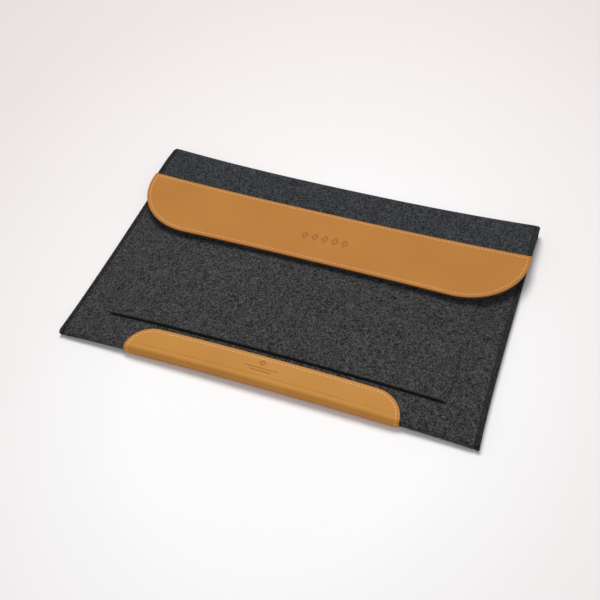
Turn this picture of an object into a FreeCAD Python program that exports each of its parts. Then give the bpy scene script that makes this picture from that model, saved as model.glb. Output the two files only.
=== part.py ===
"""Felt tablet sleeve with a fold-over flap, a leather band and a leather edge patch.

The sleeve lies on its back with the flap closed. +X is the width, +Y runs from the
leather-wrapped front edge to the fold of the flap, and +Z is up. The origin is the middle
of the footprint, on the surface that the sleeve lies on. All sizes are in millimetres.
"""

import FreeCAD, Part
import os

# Overall sizes
case_width = 280.0
felt_depth = 186.0

# Sheet thicknesses
felt = 2.5
pocket_felt = 1.5
leather = 1.2
lining = 0.5

# Tablet cavity
cavity_height = 6.0
side_margin = 4.0
side_slope_run = 5.5
front_slope_end = 14.0
mouth_from_fold = 24.0

# Document pocket on the front
pocket_side_margin = 25.0
pocket_front = 23.0
pocket_mouth_cover = 3.5
pocket_gap = 0.2
pocket_rim = 3.5

# Flap
flap_depth = 84.5
flap_corner_radius = 45.0
flap_clearance = 0.6
band_depth = 50.0
fold_clearance = 0.4
bend_before_mouth = 10.5
fold_axis_inset = 2.2
hinge_gap = 0.35
lining_inset = 4.0

# Leather edge patch
patch_width = 186.0
patch_depth = 18.7
patch_corner_radius = 16.0

# Closure magnets
magnet_diameter = 8.0
magnet_thickness = 1.8
magnet_side_inset = 14.0
magnet_from_tip = 39.5
magnet_fit = 0.1

# Sewing
thread_width = 0.5
thread_height = 0.25
band_stitch_inset = 2.3
patch_stitch_inset = 2.3
pocket_stitch_inset = 1.8
seam_inset = 2.6
plan_corner_radius = 2.5

# Places that follow from the sizes above
half_width = case_width / 2
front = -(felt_depth - leather) / 2
back = front + felt_depth
fold_radius = felt
front_top = felt + cavity_height + felt
mouth = back - mouth_from_fold
pocket_half = half_width - pocket_side_margin
pocket_low = front + pocket_front
pocket_bottom = front_top + pocket_gap
pocket_top = pocket_bottom + pocket_felt
lining_bottom = pocket_top + flap_clearance
flap_bottom = lining_bottom + lining
flap_top = flap_bottom + felt
band_top = flap_top + leather
flap_tip = back - flap_depth
band_back = flap_tip + band_depth
pocket_high = band_back - pocket_mouth_cover
flap_bend = max(band_back, mouth - bend_before_mouth)
fold_height = felt + cavity_height + fold_clearance + lining + felt
panel_end = back - 2 * fold_axis_inset - hinge_gap
patch_back = front + patch_depth
patch_turn_radius = fold_radius + leather / 2
FAR = 2 * (case_width + felt_depth)


def vector(x, y, z):
    return FreeCAD.Vector(x, y, z)


def box(x_range, y_range, z_range):
    """A block between two values along each axis."""
    sizes = [high - low for low, high in (x_range, y_range, z_range)]
    return Part.makeBox(*sizes, vector(x_range[0], y_range[0], z_range[0]))


def across(section, half):
    """A section of (y, z) points run along X, as far to the left as to the right."""
    points = [vector(-half, y, z) for y, z in section]
    face = Part.Face(Part.makePolygon(points + points[:1]))
    return face.extrude(vector(2 * half, 0, 0))


def along(section, y_low, y_high):
    """A section of (x, z) points run along Y."""
    points = [vector(x, y_low, z) for x, z in section]
    face = Part.Face(Part.makePolygon(points + points[:1]))
    return face.extrude(vector(0, y_high - y_low, 0))


def rounded_plan(half, y_low, y_high, z_range, front_radius=0.0, back_radius=0.0):
    """An upright block with a rectangular outline whose corners are rounded."""
    block = box((-half, half), (y_low, y_high), z_range)
    for radius, y in ((front_radius, y_low), (back_radius, y_high)):
        if radius > 0:
            corners = [edge for edge in block.Edges if is_upright_at(edge, y)]
            block = block.makeFillet(radius, corners)
    return block


def is_upright_at(edge, y):
    low, high = edge.Vertexes[0].Point, edge.Vertexes[-1].Point
    upright = abs(low.x - high.x) + abs(low.y - high.y) < 1e-6
    return upright and abs(low.y - y) < 1e-6


def raised(line, height):
    """The closed section between a line of (y, z) points and the same line higher up."""
    return line + [(y, z + height) for y, z in reversed(line)]


def mirrored(shape):
    return shape.mirror(vector(0, 0, 0), vector(1, 0, 0))


# The outer felt, one strip that is folded at the front edge and again at the flap

def body_plan():
    """The outline that trims the felt of the body, with its small front corners."""
    z_range = (-felt, 2 * front_top)
    return rounded_plan(half_width, front, back, z_range, front_radius=plan_corner_radius)


def front_slope_line(drop=0.0):
    """The upper face of the front felt from the front fold to the mouth."""
    return [
        (front + fold_radius, 2 * felt - drop),
        (front + front_slope_end, front_top - drop),
        (mouth, front_top - drop),
    ]


def front_dome(drop):
    """The space below the front felt's upper face, with that face lowered by the drop."""
    y_low = front + fold_radius
    margin_x = half_width - side_margin
    flat_x = margin_x - side_slope_run
    low, high = 2 * felt - drop, front_top - drop
    right = [(flat_x, high), (margin_x, low), (half_width, low), (half_width, -felt)]
    left = [(-x, z) for x, z in reversed(right)]
    section_x = left + right
    section_y = front_slope_line(drop) + [(mouth, -felt), (y_low, -felt)]
    return along(section_x, y_low, mouth).common(across(section_y, half_width))


def make_back_panel(patch):
    panel = box((-half_width, half_width), (front + fold_radius, panel_end), (0, felt))
    return panel.cut(patch).common(body_plan())


def make_bottom_fold(patch):
    fold = Part.makeCylinder(
        fold_radius, case_width, vector(-half_width, front + fold_radius, felt), vector(1, 0, 0)
    )
    ahead = box((-half_width, half_width), (front - 1, front + fold_radius), (0, 2 * felt))
    return fold.common(ahead).cut(patch).common(body_plan())


def make_front_panel():
    panel = front_dome(0.0).cut(front_dome(felt)).common(body_plan())
    panel = panel.cut(box((-FAR, FAR), (-FAR, FAR), (-FAR, felt)))
    for side in (-1, 1):
        panel = panel.cut(magnet_recess(side, front_top - felt))
    return panel


def flap_line(height):
    """A line along the flap, at a height above its lining's underside.

    The flap is level under the band and over the mouth, then drops towards the fold.
    """
    fold_level = fold_height - felt - lining + height
    level = lining_bottom + height
    return [(flap_tip, level), (flap_bend, level), (panel_end, fold_level)]


def flap_outline(inset, y_high):
    return rounded_plan(
        half_width - inset,
        flap_tip + inset,
        y_high,
        (0, 2 * band_top),
        front_radius=flap_corner_radius - inset,
    )


def make_flap_panel():
    sheet = across(raised(flap_line(lining), felt), half_width)
    sheet = sheet.common(flap_outline(0.0, panel_end))
    for side in (-1, 1):
        sheet = sheet.cut(magnet_recess(side, flap_bottom))
    return sheet


def make_flap_lining():
    sheet = across(raised(flap_line(0.0), lining), half_width)
    return sheet.common(flap_outline(lining_inset, panel_end - lining_inset))


def make_spine():
    """The strip of the felt that stands upright between the back and the flap."""
    strip = box((-half_width, half_width), (back - felt, back), (0, fold_height))
    outer_edges = [
        edge
        for edge in strip.Edges
        if edge.Length > case_width - 1 and abs(edge.CenterOfMass.y - back) < 1e-6
    ]
    return strip.makeFillet(0.8 * felt, outer_edges)


def make_pocket_panel():
    z_range = (front_top, pocket_top)
    sheet = rounded_plan(pocket_half, pocket_low, pocket_high, z_range, plan_corner_radius)
    hollow_half = pocket_half - pocket_rim
    hollow = box(
        (-hollow_half, hollow_half),
        (pocket_low + pocket_rim, pocket_high + 1),
        (front_top, pocket_bottom),
    )
    return sheet.cut(hollow)


# The leather

def patch_filled(inset):
    """The space inside the leather's outer face, or inside a face that is set in from it.

    The section runs under the edge, round the front fold and up the front slope.
    """
    centre = vector(0, front + patch_turn_radius - leather, patch_turn_radius)
    radius = patch_turn_radius - inset
    rise = leather - inset
    below = centre + vector(0, 0, -radius)
    nose = centre + vector(0, -radius, 0)
    above = centre + vector(0, 0, radius)
    upper = [vector(0, y, z + rise) for y, z in front_slope_line()[:2]]
    ends = [vector(0, patch_back, front_top + rise), vector(0, patch_back, inset)]
    turn = Part.Arc(below, nose, above).toShape()
    rest = Part.makePolygon([above] + upper + ends + [below])
    filled = Part.Face(Part.Wire([turn] + rest.Edges)).extrude(vector(patch_width, 0, 0))
    filled.translate(vector(-patch_width / 2, 0, 0))
    return filled


def patch_plan(inset):
    return rounded_plan(
        patch_width / 2 - inset,
        front - patch_depth,
        patch_back - inset,
        (-felt, 2 * front_top),
        back_radius=patch_corner_radius - inset,
    )


def make_bottom_patch():
    wrap = patch_filled(0.0).cut(patch_filled(leather))
    return wrap.common(patch_plan(0.0))


def make_flap_band():
    return rounded_plan(
        half_width, flap_tip, band_back, (flap_top, band_top), front_radius=flap_corner_radius
    )


# The closure magnets, glued into blind recesses in the felt

def magnet_disc(side, z, radius, height):
    y = flap_tip + magnet_from_tip
    x = side * (half_width - magnet_side_inset)
    return Part.makeCylinder(radius, height, vector(x, y, z))


def magnet_recess(side, z):
    radius = magnet_diameter / 2 + magnet_fit
    return magnet_disc(side, z, radius, magnet_thickness + 2 * magnet_fit)


def make_magnet(side, z):
    return magnet_disc(side, z + magnet_fit, magnet_diameter / 2, magnet_thickness)


# The sewing threads

def thread_between(outline, inset, skin):
    """The thread between two copies of an outline, on the surface that the skin covers."""
    return skin.common(outline(inset).cut(outline(inset + thread_width)))


def make_band_stitching():
    z_range = (band_top, band_top + thread_height)
    skin = box((-half_width, half_width), (flap_tip, band_back), z_range)
    return thread_between(
        lambda inset: flap_outline(inset, band_back - inset), band_stitch_inset, skin
    )


def make_patch_stitching():
    line = [(y, z + leather) for y, z in front_slope_line(0.0)[:2]]
    line.append((patch_back, front_top + leather))
    skin = across(raised(line, thread_height), patch_width / 2)
    return thread_between(patch_plan, patch_stitch_inset, skin)


def pocket_plan(inset):
    half = pocket_half - inset
    z_range = (pocket_top, 2 * pocket_top)
    return box((-half, half), (pocket_low + inset, pocket_high), z_range)


def make_pocket_stitching():
    z_range = (pocket_top, pocket_top + thread_height)
    skin = box((-pocket_half, pocket_half), (pocket_low, pocket_high), z_range)
    return thread_between(pocket_plan, pocket_stitch_inset, skin)


def seam_strip(line, y_low):
    """One row of stitches near the right edge, on a line of (y, z) points."""
    ribbon = across(raised(line, thread_height), half_width)
    x = half_width - seam_inset
    return ribbon.common(box((x - thread_width, x), (y_low, FAR), (-FAR, FAR)))


def make_side_seam():
    y_low = front + fold_radius
    return seam_strip([(y_low, 2 * felt), (mouth, 2 * felt)], y_low)


def make_flap_seam():
    return seam_strip(flap_line(lining + felt), band_back)


def make_parts():
    patch = make_bottom_patch()
    side_seam, flap_seam = make_side_seam(), make_flap_seam()
    return {
        "back_panel": make_back_panel(patch),
        "bottom_fold": make_bottom_fold(patch),
        "front_panel": make_front_panel(),
        "spine": make_spine(),
        "flap_panel": make_flap_panel(),
        "flap_lining": make_flap_lining(),
        "pocket_panel": make_pocket_panel(),
        "bottom_patch": patch,
        "flap_band": make_flap_band(),
        "flap_magnet_left": make_magnet(-1, flap_bottom),
        "flap_magnet_right": make_magnet(1, flap_bottom),
        "body_magnet_left": make_magnet(-1, front_top - felt),
        "body_magnet_right": make_magnet(1, front_top - felt),
        "band_stitching": make_band_stitching(),
        "patch_stitching": make_patch_stitching(),
        "pocket_stitching": make_pocket_stitching(),
        "side_seam_left": mirrored(side_seam),
        "side_seam_right": side_seam,
        "flap_seam_left": mirrored(flap_seam),
        "flap_seam_right": flap_seam,
    }


def write_parts(parts):
    os.makedirs("parts", exist_ok=True)
    for node, shape in parts.items():
        solids = shape.Solids
        assert len(solids) == 1 and solids[0].isValid(), node
        solids[0].exportStep(os.path.join("parts", node + ".step"))
        size = solids[0].BoundBox
        print(
            f"{node:18s} {solids[0].Volume / 1000:8.2f} cm3"
            f"  x {size.XMin:7.1f} {size.XMax:7.1f}"
            f"  y {size.YMin:7.1f} {size.YMax:7.1f}  z {size.ZMin:5.2f} {size.ZMax:5.2f}"
        )


write_parts(make_parts())
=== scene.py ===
# %% [markdown]
# # A felt tablet case with a leather band
# The real case is one strip of thick wool felt, folded at the front and again at the back, where
# it becomes the flap. A thin felt pocket and two pieces of tan leather are sewn on top. The
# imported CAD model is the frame: it says where each piece lies and how the flap opens. Here each
# piece is made the way the maker makes it: cut flat, given its thickness, and laid over a form.
# Building it that way keeps every sheet at its true cut size, and all of them fit one form.

# %% Load the frame
import bpy
import bmesh
import math
from bisect import bisect_left
from functools import lru_cache
from mathutils import Matrix, Vector, noise


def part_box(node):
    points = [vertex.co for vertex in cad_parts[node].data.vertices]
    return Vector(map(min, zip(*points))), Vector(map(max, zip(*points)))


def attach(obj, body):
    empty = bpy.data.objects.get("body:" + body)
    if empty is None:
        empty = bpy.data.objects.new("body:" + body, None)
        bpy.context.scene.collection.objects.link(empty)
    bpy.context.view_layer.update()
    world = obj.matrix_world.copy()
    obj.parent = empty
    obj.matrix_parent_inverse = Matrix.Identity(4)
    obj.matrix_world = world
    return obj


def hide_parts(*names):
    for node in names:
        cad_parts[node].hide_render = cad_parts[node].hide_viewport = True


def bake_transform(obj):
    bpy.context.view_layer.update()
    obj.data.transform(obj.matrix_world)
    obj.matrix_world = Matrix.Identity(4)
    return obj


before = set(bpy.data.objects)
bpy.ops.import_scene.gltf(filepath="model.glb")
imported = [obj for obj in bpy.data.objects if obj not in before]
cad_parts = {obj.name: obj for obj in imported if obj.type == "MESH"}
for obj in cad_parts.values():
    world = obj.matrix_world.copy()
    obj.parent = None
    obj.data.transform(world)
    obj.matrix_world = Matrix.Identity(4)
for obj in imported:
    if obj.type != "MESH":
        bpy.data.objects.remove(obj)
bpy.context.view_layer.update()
MM = 0.001

# %% [markdown]
# ## Sizes read from the frame
# A soft piece has to sit where its CAD solid is, so the outline sizes are read from the CAD
# nodes and not typed again. Only what the CAD model leaves plain, such as how much the empty
# case puffs up or sinks, is a value of this script.

# %% Main sizes
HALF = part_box("back_panel")[1].x
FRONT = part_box("bottom_fold")[0].y
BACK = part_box("spine")[1].y
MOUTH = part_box("front_panel")[1].y
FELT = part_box("back_panel")[1].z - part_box("back_panel")[0].z
FOLD_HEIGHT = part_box("spine")[1].z
BAND_LOW, BAND_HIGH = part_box("flap_band")
LEATHER = BAND_HIGH.z - BAND_LOW.z
TIP = BAND_LOW.y
POCKET_LOW, POCKET_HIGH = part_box("pocket_panel")
PATCH_LOW, PATCH_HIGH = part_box("bottom_patch")
LINING_LOW, LINING_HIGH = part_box("flap_lining")
print(f"case {2000 * HALF:.0f} mm wide, felt {1000 * FELT:.1f} mm, leather {1000 * LEATHER:.1f} mm")

# %% [markdown]
# ## The form under the felt
# An empty felt case isn't flat. Its two layers are sewn together along the sides, so the middle
# puffs up like a pillow and the front edge lifts a little off the table. The shape could be
# sculpted or left to a cloth simulation. A few short functions of the place are used instead,
# because every sheet, thread and disc can then ask them where it lies. In all of them x runs
# across the case and y runs from the front to the back. The first two say how softly a change
# begins and ends, and how near the middle of the case a place is.

# %% Soft steps
def smooth(t):
    """Goes softly from 0 to 1 as t does."""
    t = min(max(t, 0.0), 1.0)
    return t * t * (3 - 2 * t)


def swell(x, reach=HALF):
    """1 in the middle of the case and 0 at its sides, with a flat top and steep ends."""
    return 1 - min(abs(x) / reach, 1.0) ** 2.4


print("swell from the middle to the side:", [round(swell(HALF * i / 4), 2) for i in range(5)])

# %% [markdown]
# ## The front's height
# The puff is already half there at the front fold and is full 32 mm behind it. Further back the
# flap's weight presses it down again. The underside is flat on the table but for a lifted middle
# of its front edge.

# %% Front of the empty case
LAYER_GAP = 0.3 * MM        # air between the two felt layers at the sewn sides
PUFF = 5.0 * MM             # how far the middle of the front rises above the sides
NOSE_SHARE = 0.52           # share of that rise already there at the front fold
PUFF_RUN = 32 * MM          # distance from the front fold to the full rise
FLAP_WEIGHT = 0.9           # share of the rise that the flap presses away
WEIGHT_START = 80 * MM      # distance from the front edge to where that begins
WEIGHT_RUN = 70 * MM        # and the distance over which it grows
FRONT_LIFT = 1.6 * MM       # the middle of the front edge hangs above the table
LIFT_RUN = 30 * MM          # and the felt meets the table this far behind it


def front_height(x, y):
    """Height of the front felt's outer face."""
    run = min(max((y - FRONT - FELT) / PUFF_RUN, 0.0), 1.0)
    rise = NOSE_SHARE + (1 - NOSE_SHARE) * (1 - (1 - run) ** 2)
    rise *= 1 - FLAP_WEIGHT * smooth((y - FRONT - WEIGHT_START) / WEIGHT_RUN)
    return 2 * FELT + LAYER_GAP + PUFF * swell(x, HALF - 2 * MM) * rise


def front_lift(x, y):
    """Height of the felt's underside, which curves up to the front edge."""
    return FRONT_LIFT * swell(x) * (1 - smooth((y - FRONT) / LIFT_RUN))


print(f"front rises from {1000 * front_height(HALF, 0):.1f} to {1000 * front_height(0, -0.04):.1f} mm")

# %% [markdown]
# ## The form's sides
# Felt that puffs up in the middle pulls its sides in, and the folded front corners stand out a
# little. The sides could be cut curved, but the real felt is cut straight and pulled, so the cut
# stays straight here too and the form moves it.

# %% Sides of the body
SIDE_PULL = 1.2 * MM        # the sides are drawn in halfway between their ends
CORNER_FLARE = 0.5 * MM     # the front corners stand out
FLARE_SHARE = 0.2           # over this share of the case's depth


def drawn_in(point):
    """Moves a point of the body sideways, as the puffed middle draws the sides in."""
    share = min(max((point.y - FRONT) / (BACK - FRONT), 0.0), 1.0)
    flare = CORNER_FLARE * max(0.0, 1 - share / FLARE_SHARE) ** 2
    point.x *= 1 + (flare - SIDE_PULL * 4 * share * (1 - share)) / HALF
    return point


halfway = drawn_in(Vector((HALF, (FRONT + BACK) / 2, 0)))
print(f"sides drawn in by {1000 * (HALF - halfway.x):.1f} mm halfway along")

# %% [markdown]
# ## The form's back fold
# The fold at the back stands high at its two ends, where the seams hold it. Between them it is
# pressed down and drawn in. Its very ends are worn round, which takes the corner off the cut
# edge. Three functions of x give the fold's height and its place, and the same numbers drive
# both strips of felt, so the two meet without a step.

# %% Back fold
FOLD_PRESS = 2.9 * MM       # the back fold is lower in its middle
FOLD_PULL = 3.0 * MM        # and is drawn in there too
FOLD_CRUSH = 0.9 * MM       # the ends of the back fold are worn round
WORN_RUN = 2.4 * MM         # over this much of each end


def worn(x):
    """1 at the very ends of the back fold."""
    return max(0.0, (abs(x) - HALF + WORN_RUN) / WORN_RUN) ** 2


def fold_height(x):
    return FOLD_HEIGHT - FOLD_PRESS * swell(x) - FOLD_CRUSH * worn(x)


def fold_back(x):
    return BACK - FOLD_PULL * swell(x) - FOLD_CRUSH * worn(x)


print(f"back fold {1000 * fold_height(0):.1f} mm high in its middle")
print(f"and {1000 * FOLD_HEIGHT:.1f} mm near its ends")

# %% [markdown]
# ## The form under the flap
# The middle of the flap rises from the pressed-down back fold to its tip, which lies on the
# puffed front. Its sides keep one height, lower than the middle at the tip and higher at the
# fold. The leather band, its thread and the flap's magnets all follow this one surface, so it is
# a function and not a mesh.

# %% Flap of the empty case
TIP_HEIGHT = 14.2 * MM      # outer face of the flap's felt in the middle of its tip
FLAP_SIDE = 12.0 * MM       # the same face along the flap's sides
BAND_PULL = 1.8 * MM        # the leather's back edge follows the drawn-in fold
FOLD_START = BACK - FOLD_HEIGHT / 2


def flap_height(x, y):
    """Height of the flap felt's outer face."""
    slope = (TIP_HEIGHT - FOLD_HEIGHT + FOLD_PRESS) / (FOLD_START - TIP)
    middle = TIP_HEIGHT - (y - TIP) * slope
    return middle + (FLAP_SIDE - middle) * (1 - swell(x))


print(f"flap {1000 * flap_height(0, TIP):.1f} mm high in the middle of its tip")
print(f"and {1000 * flap_height(HALF, TIP):.1f} mm high along its sides")

# %% [markdown]
# ## The front fold
# At the front the strip turns over in a half circle, called the nose here. Its radius changes
# across the case with the puff, so it is worked out for each x and remembered, because
# thousands of vertices share the same x. Behind the leather patch the fold is creased a little
# square, and a circle whose power is raised from 2 towards 3 gives that without extra points.

# %% Nose of the strip
FRONT_PULL = 2.0 * MM       # the middle of the front edge is drawn in
PATCH_HALF = PATCH_HIGH.x - 1.1 * MM
PATCH_MIDDLE = -0.6 * MM    # the patch is sewn a little left of the middle
CREASE_FADE = 8 * MM        # the squareness is full this far inside the patch's sides


@lru_cache(maxsize=None)
def nose(x):
    """Where the front fold is at x: its (y, z) centre and its radius."""
    edge = FRONT + FRONT_PULL * swell(x)
    low, high = front_lift(x, FRONT), front_height(x, edge + FELT)
    radius = (high - low) / 2
    return edge + radius, low + radius, radius


def squareness(x, angle):
    """How far the creased fold stands outside its circle at an angle."""
    power = 2 + smooth((PATCH_HALF - abs(x - PATCH_MIDDLE)) / CREASE_FADE)
    return (abs(math.cos(angle)) ** power + abs(math.sin(angle)) ** power) ** (-1 / power)


print("nose radius:", [round(1000 * nose(x)[2], 1) for x in (-HALF, 0, HALF)], "mm")

# %% [markdown]
# ## Walking along the body felt
# The body felt runs from the mouth, down over the front, round the front fold and back along
# the table to the middle of the back fold. A curve modifier could bend a flat grid along that
# line, but the line is different at each x. A function that gives the point for a distance
# along the strip does the same with one lookup for each vertex.

# %% Line of the body strip
HALF_FOLD = 7.4 * MM        # length of felt in half of the back fold
NOSE_LENGTH = 5 * MM        # length that the front fold adds to the strip
BODY_LENGTH = (MOUTH - FRONT) + NOSE_LENGTH + (FOLD_START - FRONT) + HALF_FOLD


def body_point(x, s):
    """The outer face of the body felt, s metres from the mouth."""
    centre_y, centre_z, radius = nose(x)
    front_run = MOUTH - centre_y
    turn = math.pi * (radius - FELT / 2)
    fold_run = BODY_LENGTH - HALF_FOLD
    if s <= front_run:
        return drawn_in(Vector((x, MOUTH - s, front_height(x, MOUTH - s))))
    if s <= front_run + turn:
        angle = math.pi * (s - front_run) / turn
        reach = radius * squareness(x, angle)
        y, z = centre_y - reach * math.sin(angle), centre_z + reach * math.cos(angle)
        return drawn_in(Vector((x, y, z)))
    bend = fold_height(x) / 2
    start = fold_back(x) - bend
    if s <= fold_run:
        share = (s - front_run - turn) / (fold_run - front_run - turn)
        y = centre_y + share * (start - centre_y)
        return drawn_in(Vector((x, y, front_lift(x, y) * (1 - share))))
    angle = math.pi / 2 * (s - fold_run) / HALF_FOLD
    return Vector((x, start + bend * math.sin(angle), bend * (1 - math.cos(angle))))


print(f"body strip {1000 * BODY_LENGTH:.0f} mm long")

# %% [markdown]
# ## Walking along the flap felt
# The flap felt goes on from the middle of the back fold to the flap's tip. The strip is split
# there because a piece may bend across one hinge only, and the fold holds two. A last function
# gives the direction that faces out of the felt, from the points around a place, so that a
# sheet has its thickness at a right angle to the form.

# %% Line of the flap strip
FLAP_LENGTH = HALF_FOLD + FOLD_START - TIP
SETTLE_RUN = 12 * MM        # the felt settles from the fold's height to the flap's over this


def flap_point(x, s):
    """The outer face of the flap felt, s metres from the middle of the back fold."""
    bend = fold_height(x) / 2
    start = fold_back(x) - bend
    if s <= HALF_FOLD:
        angle = math.pi / 2 * s / HALF_FOLD
        return Vector((x, start + bend * math.cos(angle), bend * (1 + math.sin(angle))))
    share = (s - HALF_FOLD) / (FLAP_LENGTH - HALF_FOLD)
    y = start - share * (start - TIP)
    settled = smooth((start - y) / SETTLE_RUN)
    return Vector((x, y, 2 * bend + settled * (flap_height(x, y) - 2 * bend)))


def outward(line, x, s, step=0.4 * MM):
    """The direction that faces away from the felt at a place on a line."""
    across = line(x + step, s) - line(x - step, s)
    ahead = line(x, s + step) - line(x, s - step)
    return ahead.cross(across).normalized()


print(f"flap strip {1000 * FLAP_LENGTH:.0f} mm long")
print("outward in the middle of the front:", tuple(round(v, 2) for v in outward(body_point, 0, 0.08)))

# %% [markdown]
# ## Cutting a sheet
# Every sheet of the case starts as a flat rectangle, which is one face. Bevelling its corner
# vertices rounds them. Insetting the face gives rings that follow the rim, where leather turns
# down and is sewn, and slicing it with bisect_plane gives it enough edges to bend. Slicing is
# better than a grid here, because the cuts follow any outline and can be closer together where
# there is a seam or a stamp.

# %% Flat cutting
def spaced(low, high, step):
    """Places for cuts between two values, about a step apart."""
    count = max(2, round((high - low) / step))
    return [low + (high - low) * i / count for i in range(1, count)]


def around(places, widths):
    """Closer cuts on both sides of some places."""
    return [p + side * w for p in places for w in widths for side in (-1, 1)]


def cut_sheet(width, length, radii, cuts_x, cuts_y, rings=()):
    """A flat face with rounded corners, with rings inside its rim, sliced at the given places."""
    (left, right), (low, high) = width, length
    bm = bmesh.new()
    corners = ((left, low), (right, low), (right, high), (left, high))
    verts = [bm.verts.new((x, y, 0)) for x, y in corners]
    bm.faces.new(verts)
    for vert, radius in zip(verts, radii):
        if radius > 0:
            bmesh.ops.bevel(
                bm, geom=[vert], offset=radius, segments=max(3, round(radius / (2 * MM))),
                profile=0.5, affect="VERTICES", material=-1,
            )
    for near, far in zip((0, *rings), rings):
        widest = max(bm.faces, key=lambda face: face.calc_area())
        bmesh.ops.inset_region(bm, faces=[widest], thickness=far - near, use_even_offset=True)
    for normal, places in (((1, 0, 0), cuts_x), ((0, 1, 0), cuts_y)):
        for place in sorted(set(round(p, 6) for p in places)):
            bmesh.ops.bisect_plane(
                bm, geom=bm.verts[:] + bm.edges[:] + bm.faces[:], dist=1e-6,
                plane_co=Vector(normal) * place, plane_no=normal,
            )
    return bm


print("cuts across 20 mm:", len(spaced(0, 20 * MM, 4 * MM)))

# %% [markdown]
# ## Giving a sheet its thickness
# Extruding the flat face gives the sheet its walls and its second side. Shears and dies leave a
# soft edge, so the two rims are bevelled a little. A Solidify and a Bevel modifier would do the
# same, but the seams and stamps need the finished vertices while the sheet is still flat. Where
# two strips of felt meet in the fold the edge stays sharp, because no real edge is there.

# %% Thickness
SHARP_ANGLE = 1.2           # radians: steeper edges than this are rims


def thicken(bm, thickness, rim, keep_sharp=None):
    """Raises a flat cut to its thickness and rounds its rim."""
    top = bmesh.ops.extrude_face_region(bm, geom=bm.faces[:])["geom"]
    verts = [v for v in top if isinstance(v, bmesh.types.BMVert)]
    bmesh.ops.translate(bm, verts=verts, vec=(0, 0, thickness))
    bmesh.ops.recalc_face_normals(bm, faces=bm.faces[:])
    edges = [
        e for e in bm.edges
        if len(e.link_faces) == 2 and e.calc_face_angle() > SHARP_ANGLE
        and abs(e.verts[0].co.z - e.verts[1].co.z) < 1e-6
        and not (keep_sharp and all(keep_sharp(v.co) for v in e.verts))
    ]
    bmesh.ops.bevel(
        bm, geom=edges, offset=rim, segments=3, profile=0.5, affect="EDGES",
        material=-1, clamp_overlap=True,
    )


print(f"rims are edges of more than {math.degrees(SHARP_ANGLE):.0f} degrees")

# %% [markdown]
# ## Laying a sheet and finishing it
# A flat sheet is laid by moving each of its vertices to a point that a function gives. Just
# before that, while flat distances can still be measured, the values that its material needs,
# such as how close the rim is, are stored as vertex attributes. They could be painted by hand,
# but a formula keeps them on the seam when a size changes. The piece is then closed, its faces
# are turned outwards, and it is shaded smooth except at sharp corners.

# %% Laying and finishing
REST_GAP = 0.03 * MM        # a hair of air under a sheet that lies on another


def lay_sheet(bm, lay, marks=None):
    """Stores the marks of each flat vertex for the material, then lays the sheet."""
    if marks:
        rows = [marks(vert.co) for vert in bm.verts]
        layers = {name: bm.verts.layers.float.new(name) for name in rows[0]}
        for vert, row in zip(bm.verts, rows):
            for name, layer in layers.items():
                vert[layer] = row[name]
    for vert in bm.verts:
        vert.co = lay(vert.co)


def finish_piece(bm, name, material):
    """Makes an object from a laid mesh, shaded smooth except at sharp corners."""
    bmesh.ops.remove_doubles(bm, verts=bm.verts[:], dist=1e-6)
    bmesh.ops.recalc_face_normals(bm, faces=bm.faces[:])
    for edge in bm.edges:
        edge.smooth = len(edge.link_faces) < 2 or edge.calc_face_angle() < math.radians(50)
    for face in bm.faces:
        face.smooth = True
    mesh = bpy.data.meshes.new(name)
    bm.to_mesh(mesh)
    bm.free()
    piece = bpy.data.objects.new(name, mesh)
    bpy.context.scene.collection.objects.link(piece)
    mesh.materials.append(material)
    print(f"{name}: {len(mesh.polygons)} faces")
    return piece


print(f"laid sheets keep {1000 * REST_GAP:.2f} mm of air under them")

# %% [markdown]
# ## Materials
# Colours are picked as sRGB hex values, the way a swatch is read, and one function turns them
# into the linear values that the shader needs. One more small function adds a node with its
# settings and links, which keeps each material a short recipe.

# %% Node helper
def linear(hex_colour, alpha=1.0):
    """A colour such as "3A3B3C" in the shader's linear values."""
    parts = [int(hex_colour[i:i + 2], 16) / 255 for i in (0, 2, 4)]
    return tuple(c / 12.92 if c <= 0.04045 else ((c + 0.055) / 1.055) ** 2.4 for c in parts) + (alpha,)


def node(tree, kind, settings, output=0):
    """Adds a node and returns one of its outputs.

    A setting's key is a property, an input's name or number, or "stops" for a colour ramp. An
    input's value is a number, a hex colour, or another node's output, which is linked to it.
    """
    made = tree.nodes.new(kind)
    for key, value in settings.items():
        if key == "stops":
            elements = made.color_ramp.elements
            while len(elements) < len(value):
                elements.new(0.5)
            for element, (position, colour) in zip(elements, value):
                element.position = position
                element.color = linear(colour)
        elif isinstance(key, str) and hasattr(made, key):
            setattr(made, key, value)
        elif isinstance(value, bpy.types.NodeSocket):
            tree.links.new(value, made.inputs[key])
        else:
            made.inputs[key].default_value = linear(value) if isinstance(value, str) else value
    return made.outputs[output]


print("a mid grey of 808080 is", round(linear("808080")[0], 3), "in linear light")

# %% [markdown]
# ## Starting and tinting a material
# Every material here is one Principled shader with its constant values set on the shader, and
# the place on the piece read from Object coordinates. Felt and leather both get their colour in
# layers: a ground, then one tint after another, each laid on by a mask and a strength. A loop
# over the layers keeps the order of the tints readable.

# %% Material helpers
def new_material(name, roughness, **constants):
    """A material with its shader's constant values set on the shader itself."""
    material = bpy.data.materials.new(name)
    material.use_nodes = True
    tree = material.node_tree
    shader = tree.nodes["Principled BSDF"]
    shader.inputs["Roughness"].default_value = roughness
    for key, value in constants.items():
        shader.inputs[key.replace("_", " ")].default_value = value
    place = node(tree, "ShaderNodeTexCoord", {}, "Object")
    return material, tree, shader, place


def tinted(tree, colour, layers):
    """A colour with tints laid over it, each by a mask and a strength."""
    for mask, strength, tint in layers:
        share = node(tree, "ShaderNodeMath", {"operation": "MULTIPLY", 0: mask, 1: strength})
        colour = node(tree, "ShaderNodeMix", {"data_type": "RGBA", 0: share, 6: colour, 7: tint}, 2)
    return colour


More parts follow.
